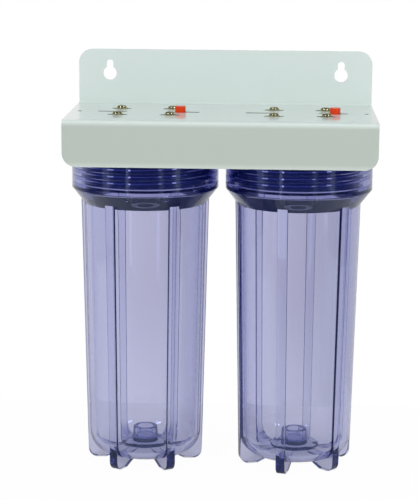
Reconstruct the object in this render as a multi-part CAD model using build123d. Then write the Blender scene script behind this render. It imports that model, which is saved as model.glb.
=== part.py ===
from build123d import *
import os

# Two-stage water filter: two clear screw-on bowls hang side by side under two caps,
# and the caps are screwed to the shelf of a bent sheet bracket.
# Millimetres. X runs along the bracket, -Y faces the user, +Y faces the wall, Z is up.
# The origin lies on the surface under the feet, midway between the two housings.

# Fits
overrun = 2.0
bite = 2.0
running_clearance = 0.1
seat_gap = 0.05
soft_gap = 0.3
thread_clearance = 0.3

# The cartridge that a housing takes, between its two seats
cartridge_length = 250.0

# Bowl
foot_height = 8.0
cone_height = 13.8
collar_height = 29.2
collar_wall = 7.9
collar_corner_round = 1.2
rim_round = 1.0
body_top_radius = 54.7
body_bottom_radius = 50.1
body_bottom_round = 18.0
upper_wall = 5.1
lower_wall = 4.7
chamber_bottom_round = 14.0
floor_thickness = 4.6
ledge_rise = 4.2
ledge_width = 4.9
seat_above_body = 27.8

# Centring boss on the bowl's floor
seat_ring_radius = 22.0
seat_ring_height = 4.3
boss_base_radius = 12.0
boss_top_radius = 10.8
boss_height = 13.3
boss_recess_radius = 7.4
boss_recess_depth = 9.0
boss_edge_round = 0.8

# Ribs of the bowl, which run down into its feet
rib_count = 6
rib_top_rise = 2.4
rib_bottom_rise = 1.7
rib_top_width = 9.2
rib_bottom_width = 8.2
rib_edge_round = 0.7
foot_edge_round = 1.4
foot_corner_round = 8.0
foot_flat_length = 16.3
foot_slope_length = 18.0
rib_turn_degrees = {"left": 0.6, "right": 15.4}

# Thread between the bowl's collar and the cap
thread_pitch = 6.0
thread_depth = 3.0
tooth_tip_width = 1.6
thread_flank_gap = 0.25
thread_bite = 0.4
thread_start_rise = 2.8
thread_end_margin = 2.7

# Seal between bowl and cap
seal_section = 3.0
seal_groove_depth = 2.5

# Cap
cap_rim_gap = 1.0
cap_flange_inset = 1.9
cap_flange_thickness = 4.0
cap_edge_round = 1.0
cap_skirt_wall = 5.4
cap_upstand_height = 4.0
cap_upstand_width = 3.5
hub_radius = 19.0
hub_drop = 6.0
web_thickness = 3.0
web_foot_inset = 7.5
web_edge_rise = 3.0
web_top_drop = 5.0
seat_tube_radius = 19.0
seat_lip_radius = 17.5
seat_lip_width = 1.2
seat_lip_height = 2.0
stub_radius = 13.2
stub_length = 8.0
stub_bore_radius = 8.0

# Ports of the cap
port_thread_radius = 9.32
port_depth = 16.0
port_tube_radius = 15.0
port_collar_radius = 16.5
port_collar_length = 14.0
port_collar_chamfer = 0.7
port_flange_gap = 1.0
port_shelf_gap = 0.5
duct_radius = 7.0
drop_hole_radius = 6.0

# Relief button and its valve
button_offset = 31.0
button_radius = 4.75
button_rise = 5.5
button_travel = 2.0
button_edge_round = 0.7
button_wall = 0.85
button_crown = 4.0
relief_boss_wall = 3.65
relief_boss_drop = 1.0
relief_well_wall = 2.0
relief_seat_drop = 2.0
relief_seat_radius = 4.6
stem_radius = 1.6
stem_groove_depth = 0.3
stem_end_length = 1.0
relief_seal_section = 1.6
clip_radius = 3.6
clip_thickness = 0.8
spring_wire = 0.6
spring_turns = 5

# Screws and washers that hold each cap
screw_half_pitch_x = 23.0
screw_half_pitch_y = 22.5
screw_radius = 2.1
screw_length = 12.0
screw_point_length = 2.0
screw_head_radius = 4.3
screw_head_height = 2.0
screw_head_edge_round = 0.3
screw_head_crown_round = 1.4
screw_recess_length = 4.4
screw_recess_width = 1.0
screw_recess_depth = 1.2
washer_radius = 5.4
washer_thickness = 0.8
screw_boss_radius = 5.5
screw_pilot_margin = 1.0

# Nipple that links the two caps, and the gap between the housings that it sets
housing_gap = 6.2
nipple_hex_radius = 12.5
nipple_hex_length = 5.0
nipple_end_gap = 3.0
nipple_bore_radius = 6.5
nipple_end_chamfer = 1.0
gasket_radius = 14.0
gasket_thickness = 1.5

# Bracket
sheet = 1.5
bend_inner_round = 1.5
bracket_end_margin = 1.1
bracket_side_gap = 2.6
plate_height = 49.4
skirt_height = 40.0
plate_corner_round = 12.5
skirt_corner_round = 12.0
keyhole_inset = 28.5
keyhole_rise = 27.3
keyhole_radius = 6.25
keyhole_slot_radius = 3.15
keyhole_slot_lift = 9.3
inner_slot_inset = 35.0
outer_slot_outset = 29.5
shelf_slot_length = 27.0
shelf_slot_width = 5.0
screw_slot_length = 18.0
screw_slot_width = 5.6
button_hole_gap = 1.45
end_hole_inset = 7.7
end_hole_radius = 2.25

# Radii and places along X worked out from the sizes above
chamber_top_radius = body_top_radius - upper_wall
chamber_bottom_radius = body_bottom_radius - lower_wall
thread_bore_radius = chamber_top_radius + ledge_width
thread_wall_radius = thread_bore_radius + thread_depth
collar_radius = thread_wall_radius + collar_wall
seal_mean_radius = (chamber_top_radius + thread_bore_radius) / 2
tooth_wall_width = thread_pitch - tooth_tip_width - 2 * thread_flank_gap
rib_top_radius = body_top_radius + rib_top_rise
rib_bottom_radius = body_bottom_radius + rib_bottom_rise
foot_flat_radius = rib_bottom_radius - foot_flat_length
foot_root_radius = foot_flat_radius - foot_slope_length
cap_root_radius = thread_bore_radius - thread_clearance
cap_skirt_bore_radius = cap_root_radius - cap_skirt_wall
cap_flange_radius = collar_radius - cap_flange_inset
button_recess_radius = button_radius - button_wall
relief_well_radius = button_radius + running_clearance
spring_mean_radius = (stem_radius + button_recess_radius) / 2
stem_groove_radius = stem_radius - stem_groove_depth
housing_spacing = 2 * collar_radius + housing_gap
housing_x = {"left": -housing_spacing / 2, "right": housing_spacing / 2}
port_reach = (housing_spacing - nipple_hex_length) / 2 - gasket_thickness
nipple_thread_length = port_depth - nipple_end_gap
bracket_width = housing_spacing + 2 * collar_radius + 2 * bracket_end_margin
shelf_depth = 2 * (collar_radius + bracket_side_gap + sheet)

# Heights worked out from the sizes above
inner_floor_z = foot_height + floor_thickness
cartridge_seat_z = inner_floor_z + seat_ring_height
seat_lip_z = cartridge_seat_z + cartridge_length
body_top_z = seat_lip_z - seat_above_body
cone_top_z = body_top_z + cone_height
ledge_z = cone_top_z + ledge_rise
rim_z = cone_top_z + collar_height
seal_z = ledge_z - seal_groove_depth + seat_gap + seal_section / 2
nose_z = seal_z + seal_section / 2 + soft_gap
flange_z = rim_z + cap_rim_gap
flange_top_z = flange_z + cap_flange_thickness
port_z = flange_z + port_flange_gap + port_collar_radius
shelf_under_z = port_z + port_collar_radius + port_shelf_gap
shelf_top_z = shelf_under_z + sheet
plate_top_z = shelf_top_z + plate_height
skirt_bottom_z = shelf_top_z - skirt_height
relief_seat_z = port_z + duct_radius - relief_seat_drop
well_floor_z = port_z + duct_radius + relief_well_wall
button_top_z = shelf_top_z + button_rise
button_bottom_z = well_floor_z + button_travel + soft_gap
button_roof_z = button_top_z - button_crown
relief_seal_z = relief_seat_z - running_clearance - relief_seal_section / 2
clip_top_z = relief_seal_z - relief_seal_section / 2 - seat_gap
stem_end_z = clip_top_z - clip_thickness - stem_end_length
screw_seat_z = shelf_top_z + washer_thickness
thread_z = ledge_z + thread_start_rise
thread_height = rim_z - thread_end_margin - thread_z

STANDING = (Align.CENTER, Align.CENTER, Align.MIN)


def rod(radius, low, high):
    """An upright round bar from one height to another."""
    return Pos(0, 0, low) * Cylinder(radius, high - low, align=STANDING)


def tube(radius, bore, low, high):
    """An upright tube, bored right through."""
    return rod(radius, low, high) - rod(bore, low - overrun, high + overrun)


def bar_along_x(radius, start, end, height):
    """A round bar that lies along X at one height."""
    return Pos(start, 0, height) * (Rot(0, 90, 0) * Cylinder(radius, end - start, align=STANDING))


def closed_outline(corners, plane):
    """A flat face from corners, each a pair of its place and its rounding."""
    places = [place for place, _ in corners]
    roundings = [rounding for _, rounding in corners]
    with BuildSketch(plane) as section:
        with BuildLine():
            FilletPolyline(*places, radius=roundings, close=True)
        make_face()
    return section.sketch


def turned(corners):
    """A solid of revolution from an outline of radius and height."""
    return revolve(closed_outline(corners, Plane.XZ), Axis.Z)


def thread_tooth(wall_radius, tip_radius):
    """A helical tooth of straight-sided section, standing in or out from its wall."""

    def rail(radius, lift):
        return Edge.make_helix(thread_pitch, thread_height, radius).moved(Location((0, 0, lift)))

    rails = [
        rail(wall_radius, -tooth_wall_width / 2),
        rail(tip_radius, -tooth_tip_width / 2),
        rail(tip_radius, tooth_tip_width / 2),
        rail(wall_radius, tooth_wall_width / 2),
    ]
    if tip_radius < wall_radius:
        rails.reverse()
    faces = [Face.make_surface_from_curves(a, b) for a, b in zip(rails, rails[1:] + rails[:1])]
    faces += [Face(Wire.make_polygon([edge @ end for edge in rails])) for end in (0, 1)]
    return Solid(Shell(faces))


def bowl_rib():
    """One radial rib on the +X side, from the cone down to the foot under the floor."""
    cone_slope = cone_height / (collar_radius - body_top_radius)
    rib_top_z = body_top_z + cone_slope * (rib_top_radius - body_top_radius) + bite
    corner_round = body_bottom_round - bite
    side_view = [
        ((foot_root_radius, foot_height), 0),
        ((foot_flat_radius, 0), foot_edge_round),
        ((rib_bottom_radius, 0), foot_corner_round),
        ((rib_top_radius, rib_top_z), 0),
        ((body_top_radius - bite, rib_top_z), 0),
        ((body_top_radius - bite, body_top_z), 0),
        ((body_bottom_radius - bite, foot_height + bite), corner_round),
        ((foot_root_radius, foot_height + bite), 0),
    ]
    end_view = [
        ((-rib_bottom_width / 2, 0), 0),
        ((rib_bottom_width / 2, 0), 0),
        ((rib_top_width / 2, rib_top_z), 0),
        ((-rib_top_width / 2, rib_top_z), 0),
    ]
    blank = extrude(closed_outline(side_view, Plane.XZ), amount=rib_top_width, both=True)
    wedge = extrude(closed_outline(end_view, Plane.YZ), amount=rib_top_radius + overrun)
    rib = (blank & wedge).solids()[0]
    long_edges = rib.edges().sort_by(Edge.length)[-4:]
    return fillet(long_edges.sort_by(Axis.X)[-2:], rib_edge_round)


def make_bowl(turn_degrees):
    """The clear bowl: collar, cone, tapered body, floor with its centring boss, ribs and thread."""
    groove_half = seal_section / 2 + running_clearance
    boss_top_z = cartridge_seat_z + boss_height
    groove_z = ledge_z - seal_groove_depth
    recess_z = boss_top_z - boss_recess_depth
    profile = [
        ((0, foot_height), 0),
        ((body_bottom_radius, foot_height), body_bottom_round),
        ((body_top_radius, body_top_z), 0),
        ((collar_radius, cone_top_z), collar_corner_round),
        ((collar_radius, rim_z), rim_round),
        ((thread_wall_radius, rim_z), rim_round),
        ((thread_wall_radius, ledge_z + thread_start_rise / 2), 0),
        ((thread_bore_radius, ledge_z), 0),
        ((seal_mean_radius + groove_half, ledge_z), 0),
        ((seal_mean_radius + groove_half, groove_z), 0),
        ((seal_mean_radius - groove_half, groove_z), 0),
        ((seal_mean_radius - groove_half, ledge_z), 0),
        ((chamber_top_radius, ledge_z), 0),
        ((chamber_bottom_radius, inner_floor_z), chamber_bottom_round),
        ((seat_ring_radius, inner_floor_z), 0),
        ((seat_ring_radius, cartridge_seat_z), boss_edge_round),
        ((boss_base_radius, cartridge_seat_z), 0),
        ((boss_top_radius, boss_top_z), boss_edge_round),
        ((boss_recess_radius, boss_top_z), boss_edge_round),
        ((boss_recess_radius, recess_z), 0),
        ((0, recess_z), 0),
    ]
    shell = turned(profile)
    rib = bowl_rib()
    for index in range(rib_count):
        shell += Rot(0, 0, turn_degrees + index * 360 / rib_count) * rib
    tooth = thread_tooth(thread_wall_radius + thread_bite, thread_bore_radius)
    return (shell + Pos(0, 0, thread_z) * tooth).solids()[0]


def make_seal():
    """The seal ring in the groove of the bowl's ledge."""
    return Pos(0, 0, seal_z) * Torus(seal_mean_radius, seal_section / 2)


def cap_web(offset):
    """An upright stiffening web across the cap, sloping down to the flange at both ends."""
    foot_y = cap_flange_radius - web_foot_inset
    foot_z = flange_top_z - cap_flange_thickness / 2
    edge_z = flange_top_z + web_edge_rise
    top_y = screw_half_pitch_y + screw_boss_radius
    top_z = shelf_under_z - web_top_drop
    side_view = [
        ((-foot_y, foot_z), 0),
        ((foot_y, foot_z), 0),
        ((foot_y, edge_z), 0),
        ((top_y, top_z), 0),
        ((-top_y, top_z), 0),
        ((-foot_y, edge_z), 0),
    ]
    near_side = Plane.YZ.offset(offset - web_thickness / 2)
    return extrude(closed_outline(side_view, near_side), amount=web_thickness)


def make_cap():
    """The cap: threaded skirt, flange, cartridge seat, side ports and screw bosses."""
    flange = rod(cap_flange_radius, flange_z, flange_top_z)
    cap = fillet(flange.edges(), cap_edge_round)
    upstand_bore = cap_flange_radius - cap_upstand_width
    cap += tube(cap_flange_radius, upstand_bore, flange_top_z - bite, flange_top_z + cap_upstand_height)
    cap += rod(hub_radius, flange_top_z - bite, shelf_under_z - hub_drop)
    for offset in (-screw_half_pitch_x, 0, screw_half_pitch_x):
        cap += cap_web(offset)
    cap += bar_along_x(port_tube_radius, -port_reach, port_reach, port_z)
    port_collar = bar_along_x(port_collar_radius, port_reach - port_collar_length, port_reach, port_z)
    port_collar = chamfer(port_collar.edges().filter_by(GeomType.CIRCLE), port_collar_chamfer)
    cap += port_collar
    cap += port_collar.mirror(Plane.YZ)
    for x, y in screw_places():
        cap += Pos(x, y, 0) * rod(screw_boss_radius, flange_top_z - bite, shelf_under_z)
    relief_boss_radius = relief_well_radius + relief_boss_wall
    cap += Pos(button_offset, 0, 0) * rod(relief_boss_radius, port_z, shelf_under_z - relief_boss_drop)
    skirt = rod(cap_root_radius, nose_z, flange_z + bite)
    skirt = chamfer(skirt.edges().sort_by(Axis.Z)[0], cap_edge_round)
    cap += skirt - rod(cap_skirt_bore_radius, nose_z - overrun, flange_z)
    cap += rod(seat_tube_radius, seat_lip_z + seat_lip_height, flange_z + bite)
    lip_outside = seat_lip_radius + seat_lip_width / 2
    lip_inside = seat_lip_radius - seat_lip_width / 2
    cap += tube(lip_outside, lip_inside, seat_lip_z, seat_lip_z + seat_lip_height + bite)
    cap += rod(stub_radius, seat_lip_z - stub_length, seat_lip_z + seat_lip_height + bite)
    cap -= cap_passages()
    cap += Pos(button_offset, 0, 0) * rod(relief_seat_radius, relief_seat_z, well_floor_z)
    stem_bore = rod(stem_radius + running_clearance, relief_seat_z - overrun, button_roof_z)
    cap -= Pos(button_offset, 0, 0) * stem_bore
    tooth = thread_tooth(cap_root_radius - thread_bite, thread_wall_radius - thread_clearance)
    cap += Pos(0, 0, thread_z + thread_pitch / 2) * tooth
    return cap.solids()[0]


def cap_passages():
    """Every bore in the cap: ports, ducts, outlet tube, drop hole, relief well and pilot holes."""
    duct_end = port_reach - port_depth + overrun
    bores = bar_along_x(duct_radius, -duct_end, 0, port_z)
    bores += bar_along_x(duct_radius, button_offset - drop_hole_radius, duct_end, port_z)
    bores += bar_along_x(port_thread_radius, -port_reach - overrun, -port_reach + port_depth, port_z)
    bores += bar_along_x(port_thread_radius, port_reach - port_depth, port_reach + overrun, port_z)
    bores += rod(stub_bore_radius, seat_lip_z - stub_length - overrun, port_z)
    bores += Pos(button_offset, 0, 0) * rod(drop_hole_radius, flange_z - overrun, port_z)
    bores += Pos(button_offset, 0, 0) * rod(relief_well_radius, well_floor_z, shelf_under_z)
    pilot_end = screw_seat_z - screw_length - screw_pilot_margin
    for x, y in screw_places():
        bores += Pos(x, y, 0) * rod(screw_radius + seat_gap, pilot_end, shelf_under_z + overrun)
    return bores


def screw_places():
    """The four screws of one cap, on a rectangle round its axis."""
    return [
        (x * screw_half_pitch_x, y * screw_half_pitch_y)
        for x in (-1, 1)
        for y in (-1, 1)
    ]


def make_button():
    """The relief button with its hollow underside and the valve stem in one moulding."""
    button = rod(button_radius, button_bottom_z, button_top_z)
    button = fillet(button.edges().sort_by(Axis.Z)[-1], button_edge_round)
    button -= rod(button_recess_radius, button_bottom_z - overrun, button_roof_z)
    button += rod(stem_radius, stem_end_z, button_roof_z + button_crown / 2)
    groove_bottom_z = clip_top_z - clip_thickness - seat_gap
    button -= tube(stem_radius + overrun, stem_groove_radius, groove_bottom_z, clip_top_z + seat_gap)
    return Pos(button_offset, 0, 0) * button.solids()[0]


def make_relief_seal():
    """The small seal ring on the stem, under its seat."""
    ring = Torus(stem_radius + seat_gap + relief_seal_section / 2, relief_seal_section / 2)
    return Pos(button_offset, 0, relief_seal_z) * ring


def make_clip():
    """The push-on ring in the stem's groove that carries the seal."""
    ring = tube(clip_radius, stem_groove_radius + seat_gap, clip_top_z - clip_thickness, clip_top_z)
    return Pos(button_offset, 0, 0) * ring


def make_spring():
    """The coil spring between the well's floor and the roof of the button."""
    low = well_floor_z + seat_gap + spring_wire / 2
    high = button_roof_z - seat_gap - spring_wire / 2
    path = Edge.make_helix((high - low) / spring_turns, high - low, spring_mean_radius)
    section = Plane(origin=path @ 0, z_dir=path % 0) * Circle(spring_wire / 2)
    return Pos(button_offset, 0, low) * sweep(section, path=path, is_frenet=True)


def make_screws():
    """Four cross-recess pan-head screws, one solid each."""
    point_z = screw_seat_z - screw_length
    head_top_z = screw_seat_z + screw_head_height
    shank_top_z = screw_seat_z + (screw_head_height - screw_recess_depth) / 2
    head = [
        ((0, screw_seat_z), 0),
        ((screw_head_radius, screw_seat_z), screw_head_edge_round),
        ((screw_head_radius, head_top_z), screw_head_crown_round),
        ((0, head_top_z), 0),
    ]
    shank = [
        ((0, point_z), 0),
        ((screw_radius, point_z + screw_point_length), 0),
        ((screw_radius, shank_top_z), 0),
        ((0, shank_top_z), 0),
    ]
    screw = turned(head) + turned(shank)
    for degrees in (45, 135):
        arm = Box(screw_recess_length, screw_recess_width, 2 * screw_recess_depth)
        screw -= Pos(0, 0, head_top_z) * (Rot(0, 0, degrees) * arm)
    return [Pos(x, y, 0) * screw.solids()[0] for x, y in screw_places()]


def make_washers():
    """Four flat washers between screw heads and shelf."""
    washer = tube(washer_radius, screw_radius + running_clearance, shelf_top_z, screw_seat_z)
    return [Pos(x, y, 0) * washer for x, y in screw_places()]


def make_nipple():
    """The hexagon nipple between the two caps' inner ports, bored through."""
    reach = nipple_hex_length / 2 + gasket_thickness + nipple_thread_length
    body = bar_along_x(port_thread_radius - seat_gap, -reach, reach, port_z)
    body = chamfer(body.edges().filter_by(GeomType.CIRCLE), nipple_end_chamfer)
    with BuildSketch(Plane.YZ.offset(-nipple_hex_length / 2)) as hexagon:
        RegularPolygon(nipple_hex_radius, 6)
    nut = Pos(0, 0, port_z) * extrude(hexagon.sketch, amount=nipple_hex_length)
    nipple = body + nut - bar_along_x(nipple_bore_radius, -reach - overrun, reach + overrun, port_z)
    return nipple.solids()[0]


def make_gaskets():
    """The two flat gaskets between the nipple's hexagon and the port faces."""
    near = nipple_hex_length / 2
    far = near + gasket_thickness
    gasket = bar_along_x(gasket_radius, near, far, port_z)
    gasket -= bar_along_x(port_thread_radius + seat_gap, near - overrun, far + overrun, port_z)
    return [gasket, gasket.mirror(Plane.YZ)]


def make_bracket():
    """The one-piece bent bracket: wall plate, shelf and front skirt, with its holes."""
    wall_y = shelf_depth / 2
    outer_round = bend_inner_round + sheet
    end_view = [
        ((wall_y - sheet, plate_top_z), 0),
        ((wall_y - sheet, shelf_top_z), bend_inner_round),
        ((-wall_y, shelf_top_z), outer_round),
        ((-wall_y, skirt_bottom_z), 0),
        ((-wall_y + sheet, skirt_bottom_z), 0),
        ((-wall_y + sheet, shelf_under_z), bend_inner_round),
        ((wall_y, shelf_under_z), outer_round),
        ((wall_y, plate_top_z), 0),
    ]
    near_end = Plane.YZ.offset(-bracket_width / 2)
    bracket = extrude(closed_outline(end_view, near_end), amount=bracket_width)
    through_edges = bracket.edges().filter_by(Axis.Y)
    bracket = fillet(through_edges.group_by(Axis.Z)[-1], plate_corner_round)
    through_edges = bracket.edges().filter_by(Axis.Y)
    bracket = fillet(through_edges.group_by(Axis.Z)[0], skirt_corner_round)
    return (bracket - bracket_holes()).solids()[0]


def bracket_holes():
    """Keyholes of the wall plate, and the slots and holes of the shelf."""
    keyhole_x = bracket_width / 2 - keyhole_inset
    keyhole_z = shelf_top_z + keyhole_rise
    with BuildSketch(Plane.XZ.offset(-shelf_depth / 2 - overrun)) as keyholes:
        for x in (-keyhole_x, keyhole_x):
            with Locations((x, keyhole_z)):
                Circle(keyhole_radius)
            with Locations((x, keyhole_z + keyhole_slot_lift)):
                Circle(keyhole_slot_radius)
            with Locations((x, keyhole_z + keyhole_slot_lift / 2)):
                Rectangle(2 * keyhole_slot_radius, keyhole_slot_lift)
    slot_x = (housing_spacing / 2 - inner_slot_inset, housing_spacing / 2 + outer_slot_outset)
    end_hole_x = bracket_width / 2 - end_hole_inset
    with BuildSketch(Plane.XY.offset(shelf_under_z - overrun)) as shelf_holes:
        for side in (-1, 1):
            with Locations(*[(side * x, 0) for x in slot_x]):
                SlotOverall(shelf_slot_length, shelf_slot_width)
            with Locations((side * end_hole_x, 0)):
                Circle(end_hole_radius)
        for middle in housing_x.values():
            with Locations((middle + button_offset, 0)):
                Circle(button_radius + button_hole_gap)
            with Locations(*[(middle + x, y) for x, y in screw_places()]):
                SlotOverall(screw_slot_length, screw_slot_width)
    return [extrude(sketch, amount=sheet + 2 * overrun) for sketch in (keyholes.sketch, shelf_holes.sketch)]


def save(name, shape):
    """Write one node, a single solid or a group of separate solids."""
    group = Compound(children=shape) if isinstance(shape, list) else shape
    export_step(group, os.path.join("parts", name + ".step"))
    print(name, "saved")


os.makedirs("parts", exist_ok=True)

save("wall_bracket", make_bracket())
save("link_nipple", make_nipple())
save("link_gaskets", make_gaskets())

cap = make_cap()
pieces = {
    "cap": cap,
    "bowl_seal": make_seal(),
    "relief_button": make_button(),
    "relief_spring": make_spring(),
    "relief_seal": make_relief_seal(),
    "relief_clip": make_clip(),
    "cap_screws": make_screws(),
    "cap_washers": make_washers(),
}
for stage, middle in housing_x.items():
    place = Pos(middle, 0, 0)
    for name, shape in pieces.items():
        moved = [place * one for one in shape] if isinstance(shape, list) else place * shape
        save(stage + "_" + name, moved)
    save(stage + "_bowl", place * make_bowl(rib_turn_degrees[stage]))

bowl_travel = thread_height + thread_pitch / 2
print("bracket", bracket_width, "by", shelf_depth, "shelf top at", round(shelf_top_z, 3))
print("housings", housing_spacing, "apart, plate top at", round(plate_top_z, 3))
print("a bowl lowers by", bowl_travel, "in", bowl_travel / thread_pitch, "turns to come free")
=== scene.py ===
# %% [markdown]
# # A two-stage water filter
# Two clear bowls screw up into two dark blue caps, and the caps hang from the shelf of a
# bent sheet bracket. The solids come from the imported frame, in metres, and stay where they
# are. This notebook gives them their finishes, builds the two springs that need a finer mesh
# than the frame has, and sets up the camera and the studio.

# %% Load the frame
import math

import bpy
from mathutils import Matrix, Vector


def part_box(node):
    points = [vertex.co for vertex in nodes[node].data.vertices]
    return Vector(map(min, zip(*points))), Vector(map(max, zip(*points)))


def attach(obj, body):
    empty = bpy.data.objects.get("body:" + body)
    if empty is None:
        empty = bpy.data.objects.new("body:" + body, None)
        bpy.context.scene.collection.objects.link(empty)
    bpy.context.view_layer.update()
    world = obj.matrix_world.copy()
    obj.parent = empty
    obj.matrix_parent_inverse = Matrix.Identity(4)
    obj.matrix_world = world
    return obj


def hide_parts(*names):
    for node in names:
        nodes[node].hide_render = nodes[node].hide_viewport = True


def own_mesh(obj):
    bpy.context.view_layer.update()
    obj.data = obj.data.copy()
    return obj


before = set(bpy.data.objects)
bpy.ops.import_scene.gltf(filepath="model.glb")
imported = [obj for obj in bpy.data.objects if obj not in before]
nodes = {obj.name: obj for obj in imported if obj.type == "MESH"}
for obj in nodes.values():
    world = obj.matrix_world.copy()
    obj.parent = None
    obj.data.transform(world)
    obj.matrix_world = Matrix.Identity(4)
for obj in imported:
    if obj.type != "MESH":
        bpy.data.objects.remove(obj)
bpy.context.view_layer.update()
MILLIMETRE = 0.001

# %% [markdown]
# ## Camera
# A product picture is taken with a long lens from a little above. A camera can be placed by
# eye, but here its place, aim and lens were found by fitting it to the bracket's corners, the
# keyholes and the bowls' collars, so that most of them land within a pixel of where they were
# photographed. The angles are in radians: a turn about the vertical, a dip and a roll.

# %% Camera
camera_place = Vector((0.0484, -1.5382, 0.5033))
camera_turn = -0.0384
camera_dip = 0.1979
camera_roll = 0.0075
focal_length_px = 1743.4
picture_height_px = 500
sensor_mm = 36.0

forward = Vector((
    math.sin(camera_turn) * math.cos(camera_dip),
    math.cos(camera_turn) * math.cos(camera_dip),
    -math.sin(camera_dip),
))
level_right = forward.cross(Vector((0, 0, 1))).normalized()
level_up = level_right.cross(forward)
right = level_right * math.cos(camera_roll) + level_up * math.sin(camera_roll)
up = right.cross(forward)
aim = Matrix((right, up, -forward)).transposed().to_4x4()

camera_data = bpy.data.cameras.new("camera")
camera_data.sensor_width = sensor_mm
camera_data.lens = focal_length_px / picture_height_px * sensor_mm
camera = bpy.data.objects.new("camera", camera_data)
camera.matrix_world = Matrix.Translation(camera_place) @ aim
bpy.context.collection.objects.link(camera)
bpy.context.scene.camera = camera
print("camera lens", round(camera_data.lens, 2), "mm")

# %% [markdown]
# ## Helpers for node trees
# Every finish below is a small tree of shader nodes. They could be wired by hand in the
# shader editor. In code, a few helpers keep them short: one adds a node and sets its sockets
# by name, one links pairs of sockets, and two more add a Math node and a Map Range node that
# take sockets and numbers alike.

# %% Node helpers


def add_node(tree, kind, **values):
    """A new node, with values for its own settings or for its sockets."""
    node = tree.nodes.new(kind)
    for name, value in values.items():
        if hasattr(node, name):
            setattr(node, name, value)
        else:
            node.inputs[name.replace("_", " ")].default_value = value
    return node


def connect(tree, *pairs):
    """Links each pair of an output and an input."""
    for output, socket in pairs:
        tree.links.new(output, socket)


def calculate(tree, operation, *values, use_clamp=False):
    """The result of a Math node whose inputs are sockets or plain numbers."""
    node = add_node(tree, "ShaderNodeMath", operation=operation, use_clamp=use_clamp)
    for socket, value in zip(node.inputs, values):
        if isinstance(value, float):
            socket.default_value = value
        else:
            tree.links.new(value, socket)
    return node.outputs["Value"]


def remap(tree, value, start=0.0, end=1.0, low=0.0, high=1.0, smooth=False):
    """A value that goes from low to high while the given one goes from start to end."""
    change = add_node(tree, "ShaderNodeMapRange", From_Min=start, From_Max=end)
    change.inputs["To Min"].default_value = low
    change.inputs["To Max"].default_value = high
    if smooth:
        change.interpolation_type = "SMOOTHSTEP"
    tree.links.new(value, change.inputs["Value"])
    return change.outputs["Result"]


print("node helpers ready")

# %% [markdown]
# ## Helpers for materials and groups
# A material starts from its Principled shader. An effect that several materials share is a
# node group: it is built once, and each material places it with values of its own.

# %% Material and group helpers


def start_material(name, **principled_values):
    """A material whose Principled shader has plain values, with its tree and shader."""
    material = bpy.data.materials.new(name)
    material.use_nodes = True
    tree = material.node_tree
    shader = tree.nodes["Principled BSDF"]
    for label, value in principled_values.items():
        shader.inputs[label.replace("_", " ")].default_value = value
    return material, tree, shader


def start_group(name, inputs, outputs):
    """A shader node group with named float inputs, given with their defaults, and outputs."""
    group = bpy.data.node_groups.new(name, "ShaderNodeTree")
    for label, default in inputs.items():
        socket = group.interface.new_socket(
            name=label, in_out="INPUT", socket_type="NodeSocketFloat"
        )
        socket.default_value = default
    for label in outputs:
        group.interface.new_socket(name=label, in_out="OUTPUT", socket_type="NodeSocketFloat")
    return group, group.nodes.new("NodeGroupInput"), group.nodes.new("NodeGroupOutput")


def place_group(tree, group, **values):
    """One use of a group in a material, with its own values."""
    node = tree.nodes.new("ShaderNodeGroup")
    node.node_tree = group
    for label, value in values.items():
        node.inputs[label.replace("_", " ")].default_value = value
    return node


print("material helpers ready")

# %% [markdown]
# ## Effect: uneven surfaces
# Moulded and painted surfaces are never quite even. This group puts out two noises: a fine
# grain for the bump, and a slow cloudiness for tone and gloss. An image could hold them too,
# but a noise in object space needs no unwrapping and keeps its real size on every piece.

# %% Group: surface unevenness
unevenness, entry, leave = start_group(
    "surface_unevenness", {"Grain Scale": 900.0, "Cloud Scale": 40.0}, ("Grain", "Cloud")
)
where = add_node(unevenness, "ShaderNodeTexCoord")
for label, detail in (("Grain", 2.0), ("Cloud", 3.0)):
    noise = add_node(unevenness, "ShaderNodeTexNoise", Detail=detail)
    connect(
        unevenness,
        (where.outputs["Object"], noise.inputs["Vector"]),
        (entry.outputs[label + " Scale"], noise.inputs["Scale"]),
        (noise.outputs["Fac"], leave.inputs[label]),
    )
print("group", unevenness.name)

# %% [markdown]
# ## Effect: edge wear and painted edge shade
# Bare metal wears along sharp edges first, and on the powder coat the same mask places
# painted shade along the cut edges. The edges could be painted by hand. A Bevel node finds
# them by itself: it gives the normal of a slightly rounded copy of the surface, and where
# that turns away from the true normal, there is an edge. A noise breaks the line up.

# %% Group: edge wear and painted edge shade
flat_likeness = 0.995
sharp_likeness = 0.85
bevel_samples = 6
edge_wear_and_shade, entry, leave = start_group(
    "edge_wear_and_shade", {"Width": 0.0006, "Breakup Scale": 300.0, "Breakup": 0.3}, ("Edge",)
)
rounded = add_node(edge_wear_and_shade, "ShaderNodeBevel", samples=bevel_samples)
true_shape = add_node(edge_wear_and_shade, "ShaderNodeNewGeometry")
likeness = add_node(edge_wear_and_shade, "ShaderNodeVectorMath", operation="DOT_PRODUCT")
where = add_node(edge_wear_and_shade, "ShaderNodeTexCoord")
noise = add_node(edge_wear_and_shade, "ShaderNodeTexNoise", Detail=3.0)
connect(
    edge_wear_and_shade,
    (entry.outputs["Width"], rounded.inputs["Radius"]),
    (rounded.outputs["Normal"], likeness.inputs[0]),
    (true_shape.outputs["Normal"], likeness.inputs[1]),
    (where.outputs["Object"], noise.inputs["Vector"]),
    (entry.outputs["Breakup Scale"], noise.inputs["Scale"]),
)
sharpness = remap(
    edge_wear_and_shade, likeness.outputs["Value"], start=flat_likeness, end=sharp_likeness
)
opposite = calculate(edge_wear_and_shade, "MULTIPLY", entry.outputs["Breakup"], -1.0)
broken = calculate(edge_wear_and_shade, "MULTIPLY_ADD", noise.outputs["Fac"], opposite, 1.0)
masked = calculate(edge_wear_and_shade, "MULTIPLY", sharpness, broken, use_clamp=True)
connect(edge_wear_and_shade, (masked, leave.inputs["Edge"]))
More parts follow.
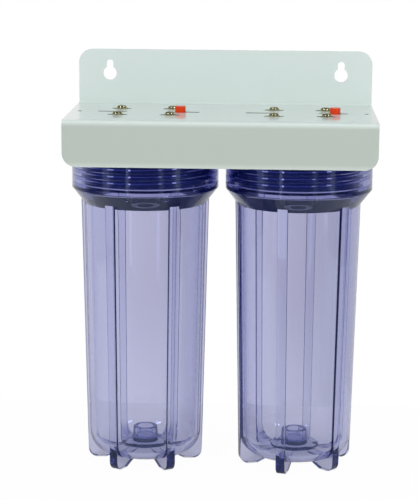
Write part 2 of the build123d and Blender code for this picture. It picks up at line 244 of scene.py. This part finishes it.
print("group", edge_wear_and_shade.name)

# %% [markdown]
# ## Effect: settled dust
# Dust settles on what faces up. The mask takes the upward part of the normal and multiplies
# it by a patchy noise, so that no surface is dusty all over.

# %% Group: settled dust
least_upward = 0.3
dust, entry, leave = start_group("settled_dust", {"Amount": 0.1, "Scale": 60.0}, ("Dust",))
true_shape = add_node(dust, "ShaderNodeNewGeometry")
split = add_node(dust, "ShaderNodeSeparateXYZ")
where = add_node(dust, "ShaderNodeTexCoord")
noise = add_node(dust, "ShaderNodeTexNoise", Detail=5.0)
connect(
    dust,
    (true_shape.outputs["Normal"], split.inputs["Vector"]),
    (where.outputs["Object"], noise.inputs["Vector"]),
    (entry.outputs["Scale"], noise.inputs["Scale"]),
)
faces_up = remap(dust, split.outputs["Z"], start=least_upward)
patchy = calculate(dust, "MULTIPLY", faces_up, noise.outputs["Fac"])
amount = calculate(dust, "MULTIPLY", patchy, entry.outputs["Amount"], use_clamp=True)
connect(dust, (amount, leave.inputs["Dust"]))
print("group", dust.name)

# %% [markdown]
# ## Ways to use the effects
# Tone, gloss and bump are applied the same way in each finish: the base colour drifts a
# little between two close tones, the roughness drifts between two values, and a noise feeds
# a Bump node whose distance is a real height in metres.

# %% Tone, gloss and bump helpers


def mix_colours(tree, mask, first, second):
    """A colour that goes from first to second as the mask goes from 0 to 1."""
    mix = add_node(tree, "ShaderNodeMix", data_type="RGBA")
    tree.links.new(mask, mix.inputs["Factor"])
    for socket, value in ((mix.inputs["A"], first), (mix.inputs["B"], second)):
        if isinstance(value, tuple):
            socket.default_value = (*value, 1.0)
        else:
            tree.links.new(value, socket)
    return mix.outputs["Result"]


def gloss_and_relief(tree, shader, cloud, roughness, relief, height, strength):
    """Gives a shader a roughness that drifts, and a fine relief of a real height."""
    smoothest, dullest = roughness
    bump = add_node(tree, "ShaderNodeBump", Strength=strength, Distance=height)
    connect(
        tree,
        (remap(tree, cloud, low=smoothest, high=dullest), shader.inputs["Roughness"]),
        (relief, bump.inputs["Height"]),
        (bump.outputs["Normal"], shader.inputs["Normal"]),
    )


def dress(node_names, material):
    """Puts a finish on frame nodes."""
    for name in node_names:
        piece = nodes[name]
        piece.data.materials.clear()
        piece.data.materials.append(material)
    print(material.name, "on", len(node_names), "nodes")


def both(name):
    """The left and the right node of one name."""
    return ["left_" + name, "right_" + name]


print("finish helpers ready")

# %% [markdown]
# ## Bracket: powder-coated sheet
# The bracket is steel sheet, bent twice and powder coated in a cool off-white. The coat is
# thick enough to round the edges and has a faint orange-peel relief. It is glossy enough
# that the shelf mirrors the red buttons at a low angle. Along the sharp edges the coat is
# painted a little darker: painted shade on the cut edges. The skirt hangs below the shelf,
# out of the light that the shelf throws back, and its coat is painted a shade deeper and
# warmer: painted shade. Its lower hem, which turns towards the pale ground, is painted
# lighter: a painted highlight. The walls of the slots and holes in the shelf are painted
# dark: painted shade. Each of these is a mask by height or place, which suits a sheet whose
# bends lie at known heights.

# %% Powder coat: tones and places
coat_tone = (0.600, 0.680, 0.655)
coat_second_tone = (0.580, 0.656, 0.632)
# Painted shade: the coat is painted darker along its sharp edges.
coat_edge_painted_shade_tone = (0.44, 0.50, 0.48)
edge_shade_share = 0.6
# Painted shade: the skirt below the shelf is painted a shade deeper and warmer.
skirt_painted_shade_tone = (0.423, 0.474, 0.428)
skirt_top_z = 0.3180
skirt_fade = 0.0040
# Painted highlight: the hem at the foot of the skirt is painted lighter.
hem_painted_light_tone = (0.54, 0.59, 0.55)
hem_z = 0.2791
hem_fade = 0.0045
# Painted shade: the walls of the slots and holes in the shelf are painted dark.
cut_wall_painted_shade_tone = (0.050, 0.055, 0.055)
cut_wall_shade_space = {"X": (-0.130, 0.130), "Y": (-0.050, 0.050), "Z": (0.31775, 0.31890)}
dust_tone = (0.50, 0.49, 0.46)


def inside_box(tree, places, box):
    """A mask that is 1 inside a box, from each axis's place and its lowest and highest."""
    mask = None
    for axis, (low, high) in box.items():
        centre, reach = (low + high) / 2, (high - low) / 2
        inside = calculate(tree, "COMPARE", places[axis], centre, reach)
        mask = inside if mask is None else calculate(tree, "MULTIPLY", mask, inside)
    return mask


print("skirt below", skirt_top_z, "m, hem below", round(hem_z + hem_fade, 4), "m")

# %% Material: powder coat
powder_coat, tree, shader = start_material("powder_coat", IOR=1.5)
uneven = place_group(tree, unevenness, Grain_Scale=700.0, Cloud_Scale=18.0)
edges = place_group(tree, edge_wear_and_shade, Width=0.0007, Breakup_Scale=200.0, Breakup=0.3)
settled = place_group(tree, dust, Amount=0.10, Scale=90.0)
where = add_node(tree, "ShaderNodeTexCoord")
split = add_node(tree, "ShaderNodeSeparateXYZ")
connect(tree, (where.outputs["Object"], split.inputs["Vector"]))
height = split.outputs["Z"]
# Masks that place painted shade on the skirt, along the edges and in the slot walls, and a
# painted highlight on the hem.
skirt_shade_mask = remap(tree, height, start=skirt_top_z, end=skirt_top_z - skirt_fade)
hem_light_mask = remap(tree, height, start=hem_z + hem_fade, end=hem_z)
edge_shade_mask = remap(tree, edges.outputs["Edge"], high=edge_shade_share)
cut_wall_shade_mask = inside_box(tree, split.outputs, cut_wall_shade_space)

tone = mix_colours(tree, uneven.outputs["Cloud"], coat_tone, coat_second_tone)
for mask, other_tone in (
    (skirt_shade_mask, skirt_painted_shade_tone),
    (hem_light_mask, hem_painted_light_tone),
    (edge_shade_mask, coat_edge_painted_shade_tone),
    (settled.outputs["Dust"], dust_tone),
    (cut_wall_shade_mask, cut_wall_painted_shade_tone),
):
    tone = mix_colours(tree, mask, tone, other_tone)
connect(tree, (tone, shader.inputs["Base Color"]))
gloss_and_relief(
    tree, shader, uneven.outputs["Cloud"], (0.05, 0.10),
    uneven.outputs["Grain"], height=0.00001, strength=0.3,
)
dress(["wall_bracket"], powder_coat)

# %% [markdown]
# ## Caps: dark blue moulded plastic
# The caps are glass-filled polypropylene in a deep blue. It is smooth on the thread, and
# its colour is nearly black where no light reaches it, under the shelf. Caps, buttons and
# rubber rings are all moulded, so one function makes their finishes, and only the values
# differ.

# %% Moulded finishes


def moulded(name, ior, tones, scales, roughness, height, strength, dust_values=None):
    """A moulded finish: two close tones, drifting gloss, fine relief, and dust if any."""
    material, tree, shader = start_material(name, IOR=ior)
    grain_scale, cloud_scale = scales
    uneven = place_group(tree, unevenness, Grain_Scale=grain_scale, Cloud_Scale=cloud_scale)
    tone = mix_colours(tree, uneven.outputs["Cloud"], *tones)
    if dust_values:
        settled = place_group(tree, dust, **dust_values)
        tone = mix_colours(tree, settled.outputs["Dust"], tone, dust_tone)
    connect(tree, (tone, shader.inputs["Base Color"]))
    gloss_and_relief(
        tree, shader, uneven.outputs["Cloud"], roughness,
        uneven.outputs["Grain"], height, strength,
    )
    return material


cap_plastic = moulded(
    "cap_plastic", ior=1.5,
    tones=((0.026, 0.044, 0.150), (0.032, 0.054, 0.178)),
    scales=(1100.0, 30.0), roughness=(0.25, 0.38), height=0.00002, strength=0.4,
    dust_values={"Amount": 0.08, "Scale": 120.0},
)
dress(both("cap"), cap_plastic)

# %% [markdown]
# ## Bowls: clear tinted plastic
# The bowls are moulded from a clear, stiff plastic with a faint blue-violet tint. Light that
# crosses two thin walls keeps most of its strength, but light that runs a long way inside a
# rib or a foot comes out dark navy. So the tint isn't in the surface colour: it is an
# absorption in the volume, which grows with the length of the path. A faint blue glow on
# the surface is painted light, which lifts the blue of the bowls and of their dark parts. Its
# shine is a little blue, so that it doesn't lay a grey veil over the dark caps behind it.

# %% Material: bowl plastic
clear = (1.0, 1.0, 1.0, 1.0)
bowl_absorption_colour = (0.12, 0.15, 0.60, 1.0)
bowl_absorption_density = 67.0
# Painted light: a faint blue glow on the bowls' surface.
bowl_painted_glow_tone = (0.05, 0.12, 1.0, 1.0)
bowl_painted_glow_strength = 0.009
bowl_shine_tone = (0.60, 0.74, 1.0, 1.0)
bowl_plastic, tree, shader = start_material(
    "bowl_plastic", IOR=1.56, Transmission_Weight=1.0, Base_Color=clear,
    Emission_Color=bowl_painted_glow_tone, Emission_Strength=bowl_painted_glow_strength,
    Specular_Tint=bowl_shine_tone,
)
uneven = place_group(tree, unevenness, Grain_Scale=500.0, Cloud_Scale=35.0)
gloss_and_relief(
    tree, shader, uneven.outputs["Cloud"], (0.0, 0.03),
    uneven.outputs["Cloud"], height=0.00003, strength=0.3,
)
absorption = add_node(
    tree, "ShaderNodeVolumeAbsorption",
    Color=bowl_absorption_colour, Density=bowl_absorption_density,
)
connect(tree, (absorption.outputs["Volume"], tree.nodes["Material Output"].inputs["Volume"]))
dress(both("bowl"), bowl_plastic)

# %% [markdown]
# ## Buttons and seals
# The relief buttons are glossy red-orange plastic. The ring seals and the gaskets are black
# rubber, which is dull and a little uneven. Both are moulded, as the caps are.

# %% Materials: button plastic and seal rubber
button_plastic = moulded(
    "button_plastic", ior=1.4,
    tones=((0.68, 0.048, 0.003), (0.60, 0.040, 0.002)),
    scales=(1500.0, 150.0), roughness=(0.08, 0.14), height=0.00001, strength=0.3,
)
dress(both("relief_button"), button_plastic)

seal_rubber = moulded(
    "seal_rubber", ior=1.5,
    tones=((0.015, 0.015, 0.016), (0.028, 0.028, 0.029)),
    scales=(2000.0, 80.0), roughness=(0.5, 0.7), height=0.00002, strength=0.5,
)
dress(both("bowl_seal") + both("relief_seal") + ["link_gaskets"], seal_rubber)

# %% [markdown]
# ## Screws, springs and nipple: bare metals
# The screws and washers are zinc plated with a yellow passivation, the springs and clips are
# stainless steel, and the nipple between the caps is turned brass. A metal's colour is that
# of its reflections, so the tones are bright and the surroundings make the darks. The worn
# edges are brighter still.

# %% Materials: metals
worn_brightness = 1.25
grain_to_cloud = 6


def metal(name, tones, roughness, grain_scale):
    """A bare metal whose tone and gloss drift over the surface, with brighter worn edges."""
    material, tree, shader = start_material(name, Metallic=1.0)
    cloud_scale = grain_scale / grain_to_cloud
    uneven = place_group(tree, unevenness, Grain_Scale=grain_scale, Cloud_Scale=cloud_scale)
    edges = place_group(tree, edge_wear_and_shade, Width=0.0002, Breakup_Scale=900.0, Breakup=0.6)
    worn = tuple(min(1.0, channel * worn_brightness) for channel in tones[0])
    tone = mix_colours(tree, uneven.outputs["Cloud"], *tones)
    tone = mix_colours(tree, edges.outputs["Edge"], tone, worn)
    connect(tree, (tone, shader.inputs["Base Color"]))
    gloss_and_relief(
        tree, shader, uneven.outputs["Cloud"], roughness,
        uneven.outputs["Grain"], height=0.00001, strength=0.4,
    )
    return material


yellow_zinc = metal(
    "yellow_zinc", tones=((0.66, 0.62, 0.36), (0.44, 0.42, 0.24)),
    roughness=(0.10, 0.22), grain_scale=2500.0,
)
spring_steel = metal(
    "spring_steel", tones=((0.62, 0.62, 0.60), (0.52, 0.52, 0.51)),
    roughness=(0.20, 0.32), grain_scale=2500.0,
)
turned_brass = metal(
    "turned_brass", tones=((0.80, 0.60, 0.28), (0.72, 0.52, 0.22)),
    roughness=(0.22, 0.34), grain_scale=1800.0,
)
dress(both("cap_screws") + both("cap_washers"), yellow_zinc)
dress(both("relief_clip"), spring_steel)
dress(["link_nipple"], turned_brass)

# %% [markdown]
# ## Springs under the relief buttons
# Each button rests on a coil spring. Its ends are closed: the first and the last coil lie
# flat against the well and the button, and the free coils between them open up. A Screw
# modifier winds a wire at one even pitch only, so the wire's centre line is worked out point
# by point here, and a ring of points is set round each of them.

# %% Spring wire: its height
wire_radius = 0.30 * MILLIMETRE
closed_turns = 0.9
open_turns = 4.2
stations_per_turn = 40
wire_sides = 10
all_turns = 2 * closed_turns + open_turns
stations = int(all_turns * stations_per_turn)
closed_rise = closed_turns * 2 * wire_radius


def wire_height(turn, first_z, last_z):
    """The height of the wire's centre after a number of turns."""
    if turn < closed_turns:
        return first_z + closed_rise * turn / closed_turns
    if turn > all_turns - closed_turns:
        return last_z - closed_rise * (all_turns - turn) / closed_turns
    share = (turn - closed_turns) / open_turns
    return first_z + closed_rise + share * (last_z - first_z - 2 * closed_rise)


print("spring wire:", all_turns, "turns,", stations, "stations")

# %% Spring wire: its points and faces


def wire_points(centre, coil_radius, first_z, last_z):
    """A ring of points round the wire's centre line at each station."""
    points = []
    for station in range(stations + 1):
        turn = all_turns * station / stations
        height = wire_height(turn, first_z, last_z)
        angle = 2 * math.pi * turn
        for side_index in range(wire_sides):
            around = 2 * math.pi * side_index / wire_sides
            radius = coil_radius + wire_radius * math.cos(around)
            points.append((
                centre[0] + radius * math.cos(angle),
                centre[1] + radius * math.sin(angle),
                height + wire_radius * math.sin(around),
            ))
    return points


def wire_faces():
    """The skin between the rings of points, and the two flat ends."""
    faces = []
    for station in range(stations):
        for side_index in range(wire_sides):
            after = (side_index + 1) % wire_sides
            a, b = station * wire_sides, (station + 1) * wire_sides
            faces.append((a + side_index, b + side_index, b + after, a + after))
    faces.append(tuple(range(wire_sides)))
    faces.append(tuple(stations * wire_sides + i for i in reversed(range(wire_sides))))
    return faces


print("spring wire:", len(wire_faces()), "faces")

# %% [markdown]
# ## Springs in their places
# The coil takes the place of its plain solid and stays on the cap. It fills the height of
# that solid, so it is as short as the solid is under its button. Sides are shaded smooth, and
# the two flat ends are not.

# %% Relief springs
side_corners = 4


def make_spring(side):
    """One coil spring with closed ends, in the place of its node, squashed by its button."""
    low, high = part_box(side + "_relief_spring")
    centre = [(a + b) / 2 for a, b in zip(low, high)]
    coil_radius = (high[0] - low[0]) / 2 - wire_radius
    points = wire_points(centre, coil_radius, low[2] + wire_radius, high[2] - wire_radius)
    mesh = bpy.data.meshes.new(side + "_spring")
    mesh.from_pydata(points, [], wire_faces())
    for polygon in mesh.polygons:
        polygon.use_smooth = len(polygon.vertices) == side_corners
    mesh.materials.append(spring_steel)
    spring = bpy.data.objects.new(side + "_spring", mesh)
    bpy.context.collection.objects.link(spring)
    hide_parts(side + "_relief_spring")
    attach(spring, "bracket_and_caps")
    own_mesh(spring)
    return spring


print("springs:", [make_spring(side).name for side in ("left", "right")])

# %% [markdown]
# ## Studio: what each kind of ray sees
# The picture has a pure white ground, but clear plastic needs something dark to refract, or
# its edges vanish. So the world and the floor are white for rays that come straight from the
# camera, and reflections and rays through the bowls see a studio of their own. The Light Path
# node tells these rays apart.

# %% Studio helpers
white = (1.0, 1.0, 1.0, 1.0)
room_tone = (0.075, 0.090, 0.270)
backdrop_strength = 0.97


def blend_shaders(tree, share, first, second):
    """A shader that goes from first to second as the share goes from 0 to 1."""
    mixed = add_node(tree, "ShaderNodeMixShader")
    connect(
        tree,
        (share, mixed.inputs["Fac"]),
        (first, mixed.inputs[1]),
        (second, mixed.inputs[2]),
    )
    return mixed.outputs["Shader"]


def sort_rays(tree):
    """Two masks: rays from the camera, and rays that were mirrored or refracted."""
    rays = add_node(tree, "ShaderNodeLightPath")
    bent = calculate(
        tree, "MAXIMUM", rays.outputs["Is Glossy Ray"], rays.outputs["Is Transmission Ray"]
    )
    return rays.outputs["Is Camera Ray"], bent


print("studio helpers ready")

# %% [markdown]
# ## World: backdrop and room
# Mirrored and refracted rays see a lit backdrop behind the object, a dim ceiling, and a dark
# bluish room in front of it, which is what turns the collars and the ribs' edges navy. Each
# is a slow change with the direction of the ray. All other rays find an even, plain light.

# %% World: tones and turning points
lighting_strength = 0.55
backdrop_tone = (1.0, 1.0, 1.0)
room_to_backdrop = (-0.2, 0.6)
wall_to_ceiling = (0.15, 0.45)
ceiling_share = 0.15
ground_to_wall = (-0.26, -0.10)
low_share = 0.92
middle_to_right = (-0.15, 0.10)
right_share = 0.82
print("backdrop", backdrop_strength, "ceiling", round(backdrop_strength * ceiling_share, 3))

# %% World: nodes
world = bpy.data.worlds.new("studio")
bpy.context.scene.world = world
world.use_nodes = True
tree = world.node_tree
tree.nodes.clear()
output = add_node(tree, "ShaderNodeOutputWorld")
lighting = add_node(tree, "ShaderNodeBackground", Color=white, Strength=lighting_strength)
ground = add_node(tree, "ShaderNodeBackground", Color=white, Strength=1.0)
studio = add_node(tree, "ShaderNodeBackground")
direction = add_node(tree, "ShaderNodeTexCoord")
split = add_node(tree, "ShaderNodeSeparateXYZ")
connect(tree, (direction.outputs["Generated"], split.inputs["Vector"]))
to_the_back = remap(tree, split.outputs["Y"], *room_to_backdrop, smooth=True)
brightness = remap(
    tree, split.outputs["Z"], *wall_to_ceiling,
    backdrop_strength, backdrop_strength * ceiling_share, smooth=True,
)
for axis, span, first, last in (
    ("Z", ground_to_wall, low_share, 1.0),
    ("X", middle_to_right, 1.0, right_share),
):
    share = remap(tree, split.outputs[axis], *span, first, last, smooth=True)
    brightness = calculate(tree, "MULTIPLY", brightness, share)
connect(
    tree,
    (mix_colours(tree, to_the_back, room_tone, backdrop_tone), studio.inputs["Color"]),
    (brightness, studio.inputs["Strength"]),
)
from_camera, bent = sort_rays(tree)
unseen = blend_shaders(tree, bent, lighting.outputs["Background"], studio.outputs["Background"])
everything = blend_shaders(tree, from_camera, unseen, ground.outputs["Background"])
connect(tree, (everything, output.inputs["Surface"]))
print("world:", len(tree.nodes), "nodes")

# %% [markdown]
# ## Floor
# The floor is plain and pale. To the camera it is almost wholly white, and the small rest is
# a real surface that takes the object's shadow. In the bowls it is about half as bright, and
# towards the front it fades into the dark room, so that no hard line shows in the plastic.

# %% Floor
floor_reach = 0.9
floor_front = -0.75
floor_back = 0.177
floor_tone = (0.72, 0.72, 0.72, 1.0)
floor_share_white = 0.975
floor_share_in_glass = 0.46
floor_dark_to_lit = (-0.70, -0.12)

floor_mesh = bpy.data.meshes.new("floor")
floor_corners = [
    (-floor_reach, floor_front, 0), (floor_reach, floor_front, 0),
    (floor_reach, floor_back, 0), (-floor_reach, floor_back, 0),
]
floor_mesh.from_pydata(floor_corners, [], [(0, 1, 2, 3)])
floor = bpy.data.objects.new("floor", floor_mesh)
bpy.context.collection.objects.link(floor)
print("floor", 2 * floor_reach, "m wide and", floor_back - floor_front, "m deep")

# %% Material: floor paint
floor_paint, tree, shader = start_material("floor_paint", Roughness=0.8, Base_Color=floor_tone)
glow = add_node(tree, "ShaderNodeEmission", Strength=1.0)
dark_room = add_node(
    tree, "ShaderNodeEmission", Color=(*room_tone, 1.0), Strength=backdrop_strength
)
where = add_node(tree, "ShaderNodeTexCoord")
split = add_node(tree, "ShaderNodeSeparateXYZ")
connect(tree, (where.outputs["Object"], split.inputs["Vector"]))
from_camera, bent = sort_rays(tree)
glow_share = calculate(
    tree, "MAXIMUM",
    calculate(tree, "MULTIPLY", from_camera, floor_share_white),
    calculate(tree, "MULTIPLY", bent, floor_share_in_glass),
)
to_the_front = remap(tree, split.outputs["Y"], *floor_dark_to_lit, 1.0, 0.0, smooth=True)
dimmed = calculate(tree, "MULTIPLY", to_the_front, bent)
surface = blend_shaders(tree, glow_share, shader.outputs["BSDF"], glow.outputs["Emission"])
surface = blend_shaders(tree, dimmed, surface, dark_room.outputs["Emission"])
connect(tree, (surface, tree.nodes["Material Output"].inputs["Surface"]))
floor_mesh.materials.append(floor_paint)
print("floor paint:", len(tree.nodes), "nodes")

# %% [markdown]
# ## Lamps
# Two small panels in front light the bracket and draw sharp sparks on the screws. A large
# one above and one behind only light, and aren't mirrored: the first would draw a bright
# line along the bend, and the second would show in the bowls. Four upright strips in front
# draw the pale lines that run down a clear cylinder.

# %% Lamps: places and powers
aim_height = 0.2
panels = {
    # name: place, side in metres, power in watts, and whether it is mirrored
    "key": ((-1.0, -1.5, 1.4), 0.35, 16, True),
    "fill": ((1.2, -1.3, 0.9), 0.35, 12, True),
    "top": ((0.0, 0.1, 1.6), 1.4, 2.5, False),
    "back": ((0.3, 1.7, 0.45), 0.8, 14, False),
}
strip_distance = 1.6
strip_height = 0.30
strip_length = 1.3
strips = {
    # name: degrees to the right of straight ahead, width in metres, and power in watts
    "strip_left": (-26, 0.10, 0.6),
    "strip_far_left": (-60, 0.34, 1.0),
    "strip_right": (27, 0.16, 0.3),
    "strip_far_right": (54, 0.22, 0.9),
}
print("lamp power in all:", sum(row[2] for row in (*panels.values(), *strips.values())), "W")

# %% Lamps


def soft_panel(name, place, target, width, height, power):
    """A soft light of one width and height at a place, aimed at a target."""
    data = bpy.data.lights.new(name, "AREA")
    data.shape = "RECTANGLE"
    data.size = width
    data.size_y = height
    data.energy = power
    lamp = bpy.data.objects.new(name, data)
    lamp.location = place
    towards = Vector(target) - Vector(place)
    lamp.rotation_euler = towards.to_track_quat("-Z", "Y").to_euler()
    lamp.visible_camera = False
    bpy.context.collection.objects.link(lamp)
    return lamp


for name, (place, side, power, mirrored) in panels.items():
    lamp = soft_panel(name, place, (0, 0, aim_height), side, side, power)
    lamp.visible_glossy = mirrored
    lamp.visible_transmission = mirrored
for name, (degrees, width, power) in strips.items():
    angle = math.radians(degrees)
    place = (strip_distance * math.sin(angle), -strip_distance * math.cos(angle), strip_height)
    soft_panel(name, place, (0, 0, strip_height), width, strip_length, power)
print("lamps:", len(panels) + len(strips))

# %% [markdown]
# ## Colour management and the last lines
# The plain Standard transform shows each colour about as it was written.

# %% Finish
bpy.context.scene.view_settings.view_transform = "Standard"
